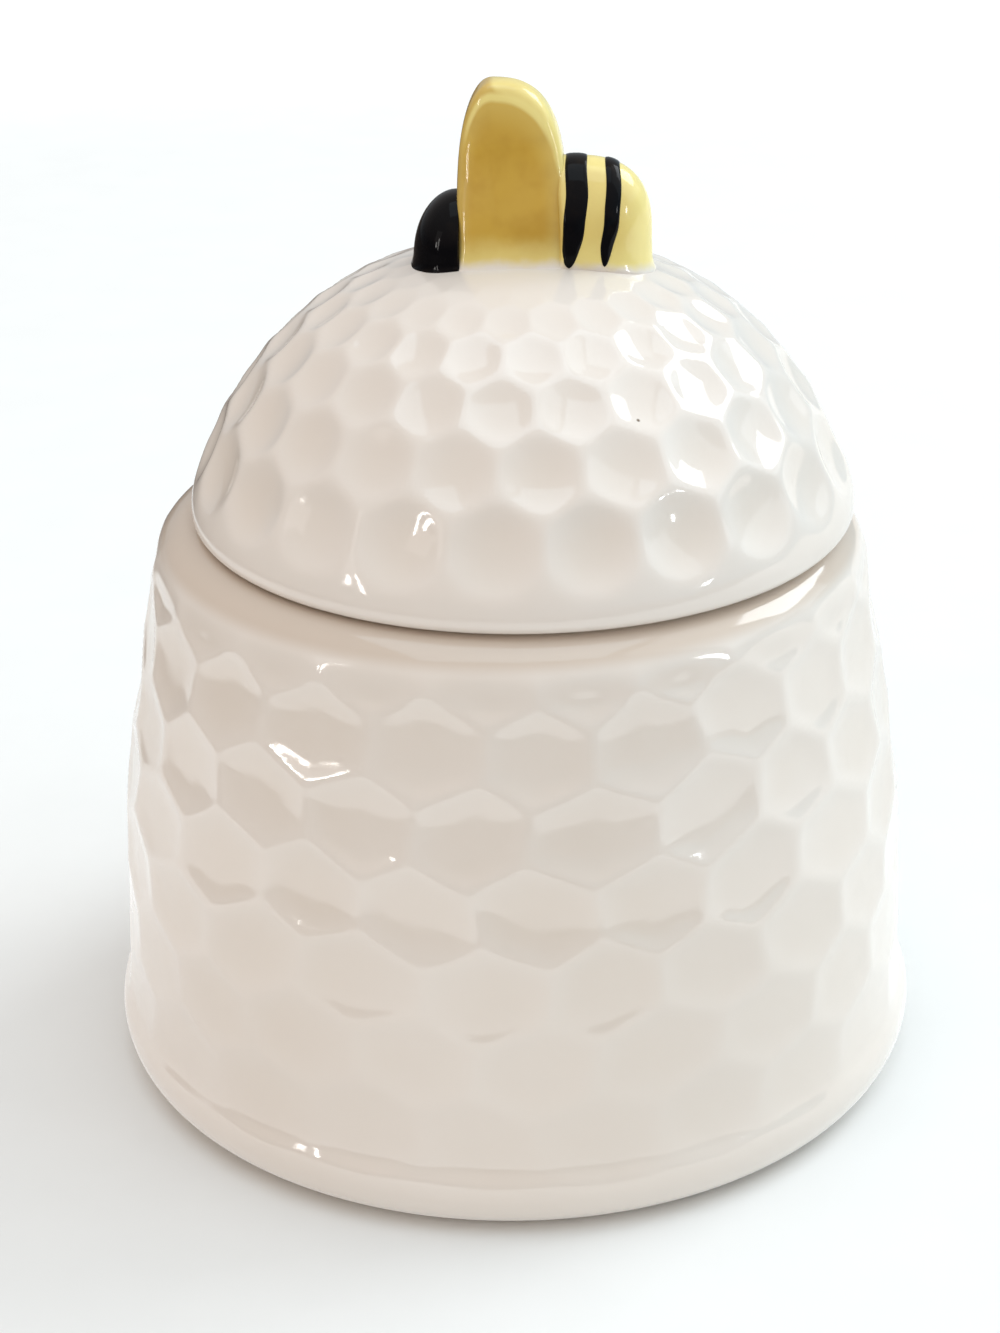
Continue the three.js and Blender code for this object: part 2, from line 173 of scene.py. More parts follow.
# Pot: its cells' powers, where the rows start, end and fade, and the chance and wear in depth
POT_CELL_POWERS = (7, 2.9, 9)
POT_RELIEF_START = 10 * MM
POT_RELIEF_END = 6 * MM
POT_FADE = (7.5 * MM, 2 * MM)
POT_SEED = 11
POT_CHANCE = (0.88, 1.08)
WEAR_ROWS = (0, 2, 3.2, 4.5)
WEAR_SHARES = (0.42, 0.72, 0.88, 0.82)

# Waves that move the cells and lean the wall: height, waves in a turn, slope over rows, phase
ROW_WAVES = ((0.05, 5, 0, 1.3), (0.04, 9, 1.1, 0.4))
COLUMN_WAVES = ((0.06, 3, 2.2, 0), (0.04, 7, -1.7, 2.0))
WALL_WAVES = ((1, 2, 0, 0.6), (0.6, 3, 1, 2.1))
WALL_LEAN = 0.12 * MM
WALL_WAVE_RISE = 30 * MM

# Heights between which the groove over the foot deepens, and then runs out
GROOVE_LOW = (7 * MM, 10 * MM)
GROOVE_HIGH = (11 * MM, 26 * MM)

# Lid: the same for its dimples, which shrink from row to row and are shallower near the top
LID_CELL_POWERS = (2.4, 2.1, 7)
LID_RELIEF_START = 1.6 * MM
LID_RELIEF_TOP_SHARE = 0.73
LID_ROW_SHRINK_SHARE = 0.885
LID_FADE = (10 * MM, 24 * MM)
LID_SHALLOW_POWER = 1.3
LID_SEED = 5
LID_CHANCE = (0.9, 1.1)

# Bee: its turn on the dome, how far it is sunk in, and the spread of its foot
BEE_TURN = math.radians(-1)
BEE_SUNK = 3 * MM
BODY_FLARE = 0.7 * MM
HEAD_FLARE = 0.35 * MM
FLARE_DEPTH = 0.7 * MM
FLARE_UNDER = 0.4 * MM

# Painted bands: name, place behind the wings, lean towards the head and share of the full width
BANDS = (("bee_band_1", 1.15 * MM, 1.0 * MM, 1.22), ("bee_band_2", 5.7 * MM, 1.1 * MM, 0.84))
BAND_REACH = math.radians(110)
BAND_WAVER = 0.06 * MM
BAND_STEPS = 121
BRUSH_STEPS = 14

# Slight colours: painted shadow round the seat under the lid's rim, pin specks, grit in the clay,
# black glaze where thin
SEAT_PAINTED_SHADOW = (0.52, 0.41, 0.31)
SPECK = (0.16, 0.11, 0.07)
GRIT = (0.60, 0.50, 0.39)
THIN_BLACK = (0.018, 0.012, 0.008)


def bezier(a, b, c, d, steps):
    """Points on a cubic curve: the four control points weighted by the Bernstein polynomials."""
    t = np.linspace(0, 1, steps + 1)[:, None]
    a, b, c, d = (np.array(p, float) for p in (a, b, c, d))
    return (1 - t) ** 3 * a + 3 * (1 - t) ** 2 * t * b + 3 * (1 - t) * t ** 2 * c + t ** 3 * d


def arc(centre, radius, start, stop, steps):
    """Points on a circle round a centre, from one angle to another."""
    angle = np.linspace(start, stop, steps + 1)
    return np.stack([centre[0] + radius * np.cos(angle), centre[1] + radius * np.sin(angle)], 1)


def chain(*stretches):
    """One profile from several that meet end to end, with each meeting point kept once."""
    parts = [np.array(stretches[0], float)]
    for stretch in stretches[1:]:
        parts.append(np.array(stretch, float)[1:])
    return np.concatenate(parts)


def distances(points):
    """Distance along a list of points, from the first one."""
    return np.concatenate([[0], np.cumsum(np.hypot(*np.diff(points, axis=0).T))])


def spaced(points, spacing):
    """The same curve with points at an even spacing."""
    along = distances(points)
    even = np.linspace(0, along[-1], max(2, math.ceil(along[-1] / spacing) + 1))
    return np.stack([np.interp(even, along, points[:, k]) for k in (0, 1)], 1)


def inward(points):
    """Unit vectors square to a profile, to the left of its walk, which is into the clay."""
    tangent = np.gradient(points, axis=0)
    tangent /= np.linalg.norm(tangent, axis=1)[:, None]
    return np.stack([-tangent[:, 1], tangent[:, 0]], 1)


def smooth_step(value, low, high):
    """Rises from 0 at low to 1 at high with level ends."""
    t = np.clip((value - low) / (high - low), 0, 1)
    return t * t * (3 - 2 * t)


def dome_radius_height(angle, radius, base, rise):
    """A quarter superellipse: radius by a power of the cosine, height by a power of the sine."""
    across = radius * np.clip(np.cos(angle), 0, 1) ** (2 / DOME_PLAN_POWER)
    up = base + rise * np.clip(np.sin(angle), 0, 1) ** (2 / DOME_RISE_POWER)
    return np.stack([across, up], 1)


def dome_height(across, radius, rise):
    """Height of the same superellipse over its base, at a radius from its axis."""
    inside = np.clip(1 - (across / radius) ** DOME_PLAN_POWER, 0, 1)
    return rise * inside ** (1 / DOME_RISE_POWER)


def cell_dishes(column, row, corner, flat, crease, depths):
    """Depth of hexagonal dishes in staggered rows, which meet along narrow ridges.

    How far out a point lies in its cell is the power mean of its distances to the cell's three
    pairs of sides, each as a share of the way to them: a high corner power makes hexagons, and two
    makes circles. A dish's depth is one minus that share raised to the flat power, times its own
    depth from a table with one row for each row of cells. Rows are half the root of three apart,
    as in a regular honeycomb. The surface is the deepest of the nearest dishes and the plain wall
    by a soft maximum, the logarithm of a sum of exponentials, as glaze rounds the ridges.
    """
    rows, cells = depths.shape
    total = np.ones(column.shape)
    side_middle = 1 + 2 * 0.5 ** corner
    for line in (np.floor(row), np.floor(row) + 1):
        shift = 0.5 * ((line + 1) % 2)
        known = (line >= 0) & (line < rows)
        rise = 1.5 * (row - line)
        for index in (np.floor(column - shift), np.floor(column - shift) + 1):
            across = column - shift - index
            deep = depths[np.clip(line, 0, rows - 1).astype(int), index.astype(int) % cells]
            sides = (np.abs(2 * across), np.abs(across + rise), np.abs(across - rise))
            out = (sum(side ** corner for side in sides) / side_middle) ** (1 / corner)
            total += np.where(known, np.exp(crease * deep * (1 - out ** flat)), 0)
    return np.log(total) / crease


def ring_faces(rows, columns):
    """Quads between neighbouring rings of points, closed round, and fans at the two end points."""
    row, column = np.meshgrid(np.arange(rows - 1), np.arange(columns), indexing="ij")
    following = (column + 1) % columns
    low, high = row * columns, (row + 1) * columns
    quads = np.stack([low + column, low + following, high + following, high + column], -1)
    ring = np.arange(columns)
    after = (ring + 1) % columns
    first, last = rows * columns, rows * columns + 1
    start = np.stack([np.full(columns, first), after, ring], 1)
    top = (rows - 1) * columns
    end = np.stack([top + ring, top + after, np.full(columns, last)], 1)
    return quads.reshape(-1, 4), np.concatenate([start, end])


def fill_mesh(name, points, quads, triangles, values):
    """A mesh from arrays of points and faces, with one named number per point for each value."""
    mesh = bpy.data.meshes.new(name)
    corners = np.concatenate([quads.ravel(), triangles.ravel()]).astype(np.int32)
    starts = np.concatenate([4 * np.arange(len(quads)),
                             4 * len(quads) + 3 * np.arange(len(triangles))]).astype(np.int32)
    mesh.vertices.add(len(points))
    mesh.vertices.foreach_set("co", points.astype(np.float32).ravel())
    mesh.loops.add(len(corners))
    mesh.loops.foreach_set("vertex_index", corners)
    mesh.polygons.add(len(starts))
    mesh.polygons.foreach_set("loop_start", starts)
    mesh.polygons.foreach_set("use_smooth", np.ones(len(starts), bool))
    for key, value in values.items():
        attribute = mesh.attributes.new(key, "FLOAT", "POINT")
        attribute.data.foreach_set("value", value.astype(np.float32).ravel())
    mesh.update(calc_edges=True)
    if mesh.validate():
        raise RuntimeError(f"{name} has faulty faces")
    return mesh


def add_object(name, data):
    """A new object in the scene."""
    made = bpy.data.objects.new(name, data)
    bpy.context.scene.collection.objects.link(made)
    return made


def add_piece(name, mesh, material, body, slot, *nodes):
    """Adds a finished mesh that rides on a body and stands for the CAD nodes named."""
    mesh.materials.append(material)
    piece = add_object(name, mesh)
    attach(piece, body)
    if nodes:
        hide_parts(*nodes)


def waves(turn, row, table):
    """A sum of sine waves, each given by its height, waves in a turn, slope over rows and phase."""
    return sum(height * np.sin(count * turn + phase + slope * row)
               for height, count, slope, phase in table)


def cell_columns(sizes, rings):
    """The angle of each column of points, and its place counted in cells for each ring."""
    columns = sizes.cells_round * COLUMNS_PER_CELL
    turn = np.arange(columns) * FULL_TURN / columns
    place = (turn - RELIEF_TURN) * sizes.cells_round / FULL_TURN
    return turn, np.broadcast_to(place, (rings, columns))


def turned_mesh(name, curve, dish, pressed, before, after, ends, axis_x):
    """A mesh turned round an upright axis from -Y, closed at two heights on the axis. Plain
    profiles lie before and after a curve that is pressed in by an amount for each point and column.
    The dishes' depths are stored for the glaze, which darkens the hollows by them as pooled glaze
    and as painted shade."""
    columns = pressed.shape[1]
    surface = curve[:, None, :] + pressed[..., None] * inward(curve)[:, None, :]
    rings = [np.broadcast_to(part[:, None, :], (len(part), columns, 2)) for part in (before, after)]
    radius, height = np.moveaxis(np.concatenate([rings[0], surface, rings[1]]), -1, 0)
    turn = np.arange(columns) * FULL_TURN / columns
    points = np.stack([axis_x + radius * np.sin(turn), -radius * np.cos(turn), height], -1)
    closing = [[axis_x, 0, end] for end in ends]
    pooling_and_shade = np.zeros(radius.size + len(closing))
    first = len(before) * columns
    pooling_and_shade[first:first + dish.size] = dish.ravel()
    return fill_mesh(name, np.concatenate([points.reshape(-1, 3), closing]),
                     *ring_faces(*radius.shape), {"pooling_and_shade": pooling_and_shade})


def pot_profiles(sizes):
    """The pot's profile as lists of radius and height: the underside, the outside up to the seat,
    and the rest from there down to the floor inside. The floor's height comes last."""
    foot, wide, high = sizes.foot_radius, sizes.widest_radius, sizes.widest_height
    top, mouth, shoulder_round = sizes.pot_height, sizes.mouth_radius, sizes.shoulder_round
    seat_radius = mouth + sizes.seat_width
    shoulder_radius, shoulder_height = seat_radius + shoulder_round, top - shoulder_round
    rise = shoulder_height - high
    corner = bezier((foot, 0), ((foot + wide) / 2, 0), (wide, high / 3), (wide, high), 40)
    pulls = [(shoulder_radius + (wide - shoulder_radius) * out, high + rise * up)
             for out, up in WALL_CONTROLS]
    wall = bezier((wide, high), *pulls, (shoulder_radius, shoulder_height), 200)
    shoulder = arc((seat_radius, shoulder_height), shoulder_round, 0, QUARTER_TURN, 60)
    outside = chain(corner, wall, shoulder)

    recess, lip_round = sizes.foot_recess, sizes.lip_round
    flare, bend_radius = sizes.neck_flare, sizes.inner_corner
    floor_height = recess + sizes.floor_thickness
    inner_base = wide - sizes.wall_thickness
    inner_shoulder = shoulder_radius - sizes.wall_thickness
    neck_end = top - lip_round - sizes.neck_depth
    flare_end = neck_end - flare
    lip = arc((mouth + lip_round, top - lip_round), lip_round, QUARTER_TURN, 2 * QUARTER_TURN, 5)
    neck = bezier((mouth, neck_end), (mouth, neck_end - flare / 2),
                  (inner_shoulder, flare_end + flare / 2), (inner_shoulder, flare_end), 12)
    inside = bezier((inner_shoulder, flare_end),
                    ((inner_base + inner_shoulder) / 2 + sizes.inner_bow,
                     (flare_end + floor_height) / 2),
                    (inner_base, floor_height + 2 * bend_radius),
                    (inner_base, floor_height + bend_radius), 30)
    floor_edge = inner_base - bend_radius
    corner_inside = arc((floor_edge, floor_height + bend_radius), bend_radius, 0, -QUARTER_TURN, 8)
    floor = np.stack([floor_edge * np.linspace(1, 0.1, 6), np.full(6, floor_height)], 1)
    straight = [(mouth, top - lip_round), (mouth, neck_end)]
    rest = chain(outside[-1:], lip, straight, neck, inside, corner_inside, floor)

    ring_inner = foot - sizes.foot_width
    recess_edge = ring_inner - recess
    under = np.stack([recess_edge * np.linspace(0.1, 1, 5), np.full(5, recess)], 1)
    chamfer = bezier((recess_edge, recess), (recess_edge + recess / 2, recess),
                     (ring_inner - recess / 4, 0), (ring_inner, 0), 6)
    ring = [(ring_inner, 0), ((ring_inner + foot) / 2, 0), (foot, 0)]
    return chain(under, chamfer, ring), outside, rest[1:], floor_height


class HONEYPOT_OT_pot(bpy.types.Operator):
    """Make the pot with its honeycomb relief, seat, mouth and hollow"""

    bl_idname = "honey_pot.pot"
    bl_label = "Pot"

    def execute(self, context):
        sizes = context.scene.honey_pot_sizes
        under, outside, rest, floor_height = pot_profiles(sizes)
        outside = spaced(outside, POT_SPACING)
        along, height = distances(outside), outside[:, 1:]
        turn, column = cell_columns(sizes, len(outside))

        # Rows are counted from the first whole row. The half row above the last one fades out
        # over the shoulder.
        shoulder_arc = QUARTER_TURN * sizes.shoulder_round
        start = POT_RELIEF_START
        end = along[-1] - shoulder_arc + sizes.shoulder_round - POT_RELIEF_END
        pitch = (end - start) / (sizes.pot_rows - 1 + 2 * CELL_REACH)
        row = np.broadcast_to(((along - start) / pitch - CELL_REACH)[:, None], column.shape)
        moved = (column + waves(turn, row, COLUMN_WAVES), row + waves(turn, row, ROW_WAVES))
        worn = np.interp(np.arange(sizes.pot_rows + 1), WEAR_ROWS, WEAR_SHARES)[:, None]
        chance = np.random.default_rng(POT_SEED)
        depths = chance.uniform(*POT_CHANCE, (len(worn), sizes.cells_round)) * worn
        fade = 1 - smooth_step(height, *(sizes.pot_height - below for below in POT_FADE))
        dish = cell_dishes(*moved, *POT_CELL_POWERS, depths) * fade

        lean = WALL_LEAN * waves(turn, height / WALL_WAVE_RISE, WALL_WAVES)
        lean = lean * np.sin(math.pi * along / along[-1])[:, None]
        groove = smooth_step(height, *GROOVE_LOW) * (1 - smooth_step(height, *GROOVE_HIGH))
        groove = groove * (0.85 + 0.15 * np.sin(4 * turn + 0.8) * np.sin(turn))
        pressed = dish * sizes.pot_relief + lean + groove * sizes.foot_groove
        mesh = turned_mesh("pot", outside, dish, pressed, under[:-1], rest,
                           (sizes.foot_recess, floor_height), 0.0)
        add_piece("pot", mesh, white_glaze(context, "pot"), "pot", "white_glaze", "pot_body")
        return {"FINISHED"}


def lid_heights(sizes):
    """Height of the rim's underside, of the dome's base, and of the dome's top above its base."""
    rim = lid_low.z + sizes.flange_depth
    base = rim + sizes.rim_round + sizes.rim_band
    return rim, base, lid_high.z - base


def lid_profiles(sizes):
    """The dome's outside, its length to the top, and the rest of the lid's profile, from the top
    of the hollow round the flange to the rim."""
    rim, base, rise = lid_heights(sizes)
    thick, edge, round_ = sizes.lid_thickness, sizes.flange_round, sizes.rim_round
    quarter = np.linspace(0, QUARTER_TURN, DOME_STEPS)
    dome = dome_radius_height(quarter, sizes.lid_radius, base, rise)
    hollow = dome_radius_height(quarter, sizes.lid_radius - thick, base, rise - thick)
    hollow = spaced(hollow, HOLLOW_SPACING)[::-1][1:-3]
    foot = hollow[-1]
    outer = sizes.mouth_radius - sizes.flange_clearance
    inner = outer - sizes.flange_thickness
    bottom = rim - sizes.flange_depth
    half = 2 * QUARTER_TURN
    throat = bezier(foot, (foot[0], (foot[1] + base) / 2), (inner, base), (inner, rim), 8)
    flange = chain([(inner, rim), (inner, bottom + edge)],
                   arc((inner + edge, bottom + edge), edge, half, 3 * QUARTER_TURN, 5),
                   arc((outer - edge, bottom + edge), edge, 3 * QUARTER_TURN, 2 * half, 5),
                   [(outer, bottom + edge), (outer, rim - edge)],
                   arc((outer + edge, rim - edge), edge, half, QUARTER_TURN, 4))
    band = chain([(outer + edge, rim), (sizes.lid_radius - round_, rim)],
                 arc((sizes.lid_radius - round_, rim + round_), round_, -QUARTER_TURN, 0, 8),
                 [(sizes.lid_radius, rim + round_), (sizes.lid_radius, base)])
    inside = chain(hollow, throat, flange, band)[:-1]
    return spaced(dome, DOME_SPACING)[:-1], distances(dome)[-1], inside


class HONEYPOT_OT_lid(bpy.types.Operator):
    """Make the dimpled dome with its rim, flange and hollow"""

    bl_idname = "honey_pot.lid"
    bl_label = "Lid"

    def execute(self, context):
        sizes = context.scene.honey_pot_sizes
        base, rise = lid_heights(sizes)[1:]
        dome, whole, inside = lid_profiles(sizes)
        along = distances(dome)
        column = cell_columns(sizes, len(dome))[1]

        # Rows of dimples shrink towards the top, each by the same share of the row below it.
        start, end = LID_RELIEF_START, whole * LID_RELIEF_TOP_SHARE
        shrink = LID_ROW_SHRINK_SHARE
        lowest = shrink ** -CELL_REACH
        highest = shrink ** (sizes.lid_rows - 1 + CELL_REACH)
        left = lowest - (along - start) * (lowest - highest) / (end - start)
        row = np.log(np.clip(left, 1e-3, None)) / math.log(shrink)
        row = np.broadcast_to(row[:, None], column.shape)
        chance = np.random.default_rng(LID_SEED)
        depths = chance.uniform(*LID_CHANCE, (sizes.lid_rows + 2, sizes.cells_round))
        across = (dome[:, 0] / sizes.lid_radius) ** LID_SHALLOW_POWER
        fade = smooth_step(dome[:, 0], *LID_FADE)
        dish = cell_dishes(column, row, *LID_CELL_POWERS, depths) * (fade * across)[:, None]
        mesh = turned_mesh("lid_dome", dome, dish, dish * sizes.lid_relief, inside,
                           np.zeros((0, 2)), (base + rise - sizes.lid_thickness, base + rise),
                           LID_AXIS)
        add_piece("lid_dome", mesh, white_glaze(context, "lid"), "lid", "white_glaze", "lid")
        return {"FINISHED"}


def bend(value, power):
    """A sine or cosine raised to a power, with its sign kept, as a superellipse needs."""
    return np.sign(value) * np.abs(value) ** (2 / power)


class Lump:
    """A pressed lump of clay: an outline of four quarter superellipses, swollen to both sides.

    reach gives the outline's reach back, forward, up and down from its centre, and powers the
    power of its upper back, upper front and lower quarters. A high power is a boxy quarter. The
    share of the way to the outline and the share of the half width, each raised to side_power,
    add up to one on the surface. keel is the share by which the two faces draw in at the upper
    back, and front_power is the side power along the front.
    """

    def __init__(self, centre, reach, powers, half_width, side_power, keel=0.0, front_power=None):
        self.centre, self.reach, self.powers = centre, reach, powers
        self.half_width, self.side_power, self.keel = half_width, side_power, keel
        self.front_power = front_power or side_power

    def quarter(self, ahead, above):
        """Reach along, reach up and power of the quarter that each direction lies in."""
        back, front, up, down = self.reach
        upper_back, upper_front, lower = self.powers
        along = np.where(ahead, front, back)
        power = np.where(above, np.where(ahead, upper_front, upper_back), lower)
        return along, np.where(above, up, down), power

    def grid(self, steps=176, rings=61):
        """Rings of points from the near side to the far side, the two side middles, how near each
        point is to the outline, from 0 to 1, and the same with less of it off the top and back."""
        angle = (np.arange(steps) * FULL_TURN / steps)[None, :]
        side = np.linspace(-QUARTER_TURN, QUARTER_TURN, rings + 2)[1:-1, None]
        cos, sin = np.cos(angle), np.sin(angle)
        along, up, power = self.quarter(cos < 0, sin > 0)

        # The front is softer in section, and the upper back draws in towards the sides.
        soft = smooth_step(-cos, 0.2, 0.8) * smooth_step(sin, -0.2, 0.3)
        side_power = self.side_power + (self.front_power - self.side_power) * soft
        drawn = np.cos(side) ** (2 / side_power)
        out = np.sign(side) * np.abs(np.sin(side)) ** (2 / side_power)
        upper_back = smooth_step(cos, -0.4, 0.5) * smooth_step(sin, -0.1, 0.75)
        scale = drawn * (1 - self.keel * upper_back * np.abs(out) ** 1.3)
        x = self.centre[0] + along * bend(cos, power) * scale
        z = self.centre[1] + up * bend(sin, power) * scale
        points = np.stack(np.broadcast_arrays(x, out * self.half_width(z), z), -1)
        middle = float(self.half_width(np.array(self.centre[1])))
        ends = np.array([[self.centre[0], -middle, self.centre[1]],
                         [self.centre[0], middle, self.centre[1]]])
        # The last value is the nearness to the outline, raised at the upper back, where the yellow
        # glaze paints straw partly as thin glaze and partly as painted light from above and behind.
        thin = drawn * (0.7 + 0.3 * smooth_step(cos, -0.62, 0.2) * smooth_step(sin, -0.6, 0.4))
        return points, ends, drawn, thin

    def radius(self, x, angle):
        """Distance from the lump's long axis to its surface, at a place along it and at an angle
        from straight up. The surface's sum grows steadily outwards, so halving steps find it."""
        low = np.zeros(x.shape)
        high = np.full(x.shape, 3 * max(self.reach))
        for _ in range(40):
            middle = (low + high) / 2
            rise = middle * np.cos(angle)
            along, up, power = self.quarter(x < self.centre[0], rise > 0)
            away = np.abs((x - self.centre[0]) / along) ** power + np.abs(rise / up) ** power
            side = np.abs(middle * np.sin(angle)) / self.half_width(self.centre[1] + rise)
            outside = side ** self.side_power + away ** (self.side_power / power) > 1
            high = np.where(outside, middle, high)
            low = np.where(outside, low, middle)
        return (low + high) / 2


def grid_normals(grid):
    """Unit normals of a ringed grid, from its slopes along and round, pointing out of the lump."""
    along = np.gradient(grid, axis=0)
    round_ = np.roll(grid, -1, 1) - np.roll(grid, 1, 1)
    normal = np.cross(along, round_)
    return normal / np.maximum(np.linalg.norm(normal, axis=-1, keepdims=True), 1e-12)


def place_bee(points):
    """Turns the bee to its place on the dome and lifts it to the dome's top."""
    cos, sin = math.cos(BEE_TURN), math.sin(BEE_TURN)
    x = LID_AXIS + cos * points[..., 0] - sin * points[..., 1]
    y = sin * points[..., 0] + cos * points[..., 1]
    return np.stack([x, y, points[..., 2] + lid_high.z], -1)


def over_dome(points, sizes):
    """Height over the dome of points that are given from the dome's top, on the lid's axis."""
    rise = lid_heights(sizes)[2]
    across = np.hypot(points[..., 0], points[..., 1])
    return points[..., 2] - (dome_height(across, sizes.lid_radius, rise) - rise)


def foot_spread(level):
    """Share of a foot's spread at a height over the dome. It runs straight on for a little way
    under the dome, so that the surface meets the dome at its own slope."""
    return np.where(level > 0, np.exp(-np.clip(level, 0, None) / FLARE_DEPTH),
                    1 - np.clip(level, -FLARE_UNDER, 0) / FLARE_DEPTH)


def flared(grid, sizes, flare):
    """Spreads the foot of a lump where its glaze runs into the dome's: the spread falls off
    exponentially with the height over the dome."""
    normal = grid_normals(grid)
    normal[..., 2] = 0
    return grid + normal * (flare * foot_spread(over_dome(grid, sizes)))[..., None]


def bee_mesh(name, grid, ends, values):
    """A mesh of rings of points of the bee and two end points, in its place on the dome."""
    quads, triangles = ring_faces(*grid.shape[:2])
    points = place_bee(np.concatenate([grid.reshape(-1, 3), ends]))
    return fill_mesh(name, points, quads[:, ::-1], triangles[:, ::-1], values)


def bee_lumps(sizes):
    """The bee's wings with the thorax under them, its abdomen and its head."""
    peak, wing_foot = -sizes.wing_peak_offset, sizes.wing_height - sizes.wing_rise
    abdomen_foot = sizes.abdomen_height - sizes.abdomen_rise
    thorax = sizes.thorax_half_width

    def wing_width(z):
        blend = smooth_step(z, 0, sizes.wing_rise)
        return thorax + (sizes.wing_half_thickness - thorax) * blend

    def even(width):
        return lambda z: np.full(np.shape(z), width)

    wings = Lump((peak, wing_foot), (sizes.wing_back, sizes.wing_front, sizes.wing_rise,
                                     wing_foot + BEE_SUNK),
                 (2.65, 2.35, 9), wing_width, side_power=7.5, keel=0.06, front_power=3.6)
    abdomen = Lump((peak + sizes.wing_back, abdomen_foot),
                   (sizes.abdomen_length, 1.5 * MM, sizes.abdomen_rise, abdomen_foot + BEE_SUNK),
                   (2.8, 6, 9), even(sizes.abdomen_half_width), side_power=2.1)
    head = Lump((peak - sizes.wing_front, 0.0),
                (0.5 * MM, sizes.head_length, sizes.head_height, BEE_SUNK),
                (6, 1.95, 6), even(sizes.head_half_width), side_power=2.2)
    return wings, abdomen, head


def band_mesh(sizes, name, offset, lean, wide):
    """One painted band: a brush stroke carried over the back, with a crowned top and its underside
    sunk in. It widens a little down the sides, narrows to a point at each end, and leans towards
    the head as it comes down."""
    body = bee_lumps(sizes)[1]
    angle = np.linspace(-BAND_REACH, BAND_REACH, BAND_STEPS)[:, None]
    share = np.abs(angle) / BAND_REACH
    taper = np.clip(1 - share ** 3.4, 1e-4, 1) ** 0.6
    brush = (np.arange(BRUSH_STEPS) * FULL_TURN / BRUSH_STEPS)[None, :]
    half = 0.5 * sizes.stripe_width * wide * (0.92 + 0.3 * share ** 2) * taper
    ragged = BAND_WAVER * np.sin(9 * angle + offset / MM) * taper
    down = smooth_step(share, 0.3, 1.05)
    x = body.centre[0] + offset - lean * down + half * np.cos(brush) + ragged
    lift = sizes.stripe_rise * np.sin(brush) * np.sqrt(taper)
    reach = body.radius(x, np.broadcast_to(angle, x.shape)) + lift
    points = np.stack([x, reach * np.sin(angle), body.centre[1] + reach * np.cos(angle)], -1)
    spread = BODY_FLARE * foot_spread(over_dome(points, sizes))
    points[..., 1] += np.sign(points[..., 1]) * spread
    return bee_mesh(name, points, points[[0, -1]].mean(1), {})


class HONEYPOT_OT_bee(bpy.types.Operator):
    """Make the bee's wings, abdomen and head"""

    bl_idname = "honey_pot.bee"
    bl_label = "Bee"

    def execute(self, context):
        sizes = context.scene.honey_pot_sizes
        gold = yellow_glaze(context, "gold_glaze", 0.1)
        pale = yellow_glaze(context, "straw_glaze", 1.0)
        black = black_glaze(context)
        made = (("bee_wing_pair", gold, "yellow_glaze", "bee_wings", BODY_FLARE),
                ("bee_body", pale, "yellow_glaze", "bee_abdomen", BODY_FLARE),
                ("bee_face", black, "black_glaze", "bee_head", HEAD_FLARE))
        for lump, (name, glaze, slot, node, flare) in zip(bee_lumps(sizes), made):
            grid, ends, rim, thin = lump.grid()
            grid = flared(grid, sizes, flare)
            level = over_dome(np.concatenate([grid.reshape(-1, 3), ends]), sizes)
            values = {"rim": np.append(rim, [0, 0]), "thin": np.append(thin, [0, 0]),
                      "level": level}
            add_piece(name, bee_mesh(name, grid, ends, values), glaze, "lid", slot, node)
        return {"FINISHED"}


class HONEYPOT_OT_bands(bpy.types.Operator):
    """Paint the two raised black bands over the abdomen"""

    bl_idname = "honey_pot.bands"
    bl_label = "Bands"

    def execute(self, context):
        black = black_glaze(context)
        for name, offset, lean, wide in BANDS:
            mesh = band_mesh(context.scene.honey_pot_sizes, name, offset, lean, wide)
            add_piece(name, mesh, black, "lid", "black_glaze")
        return {"FINISHED"}


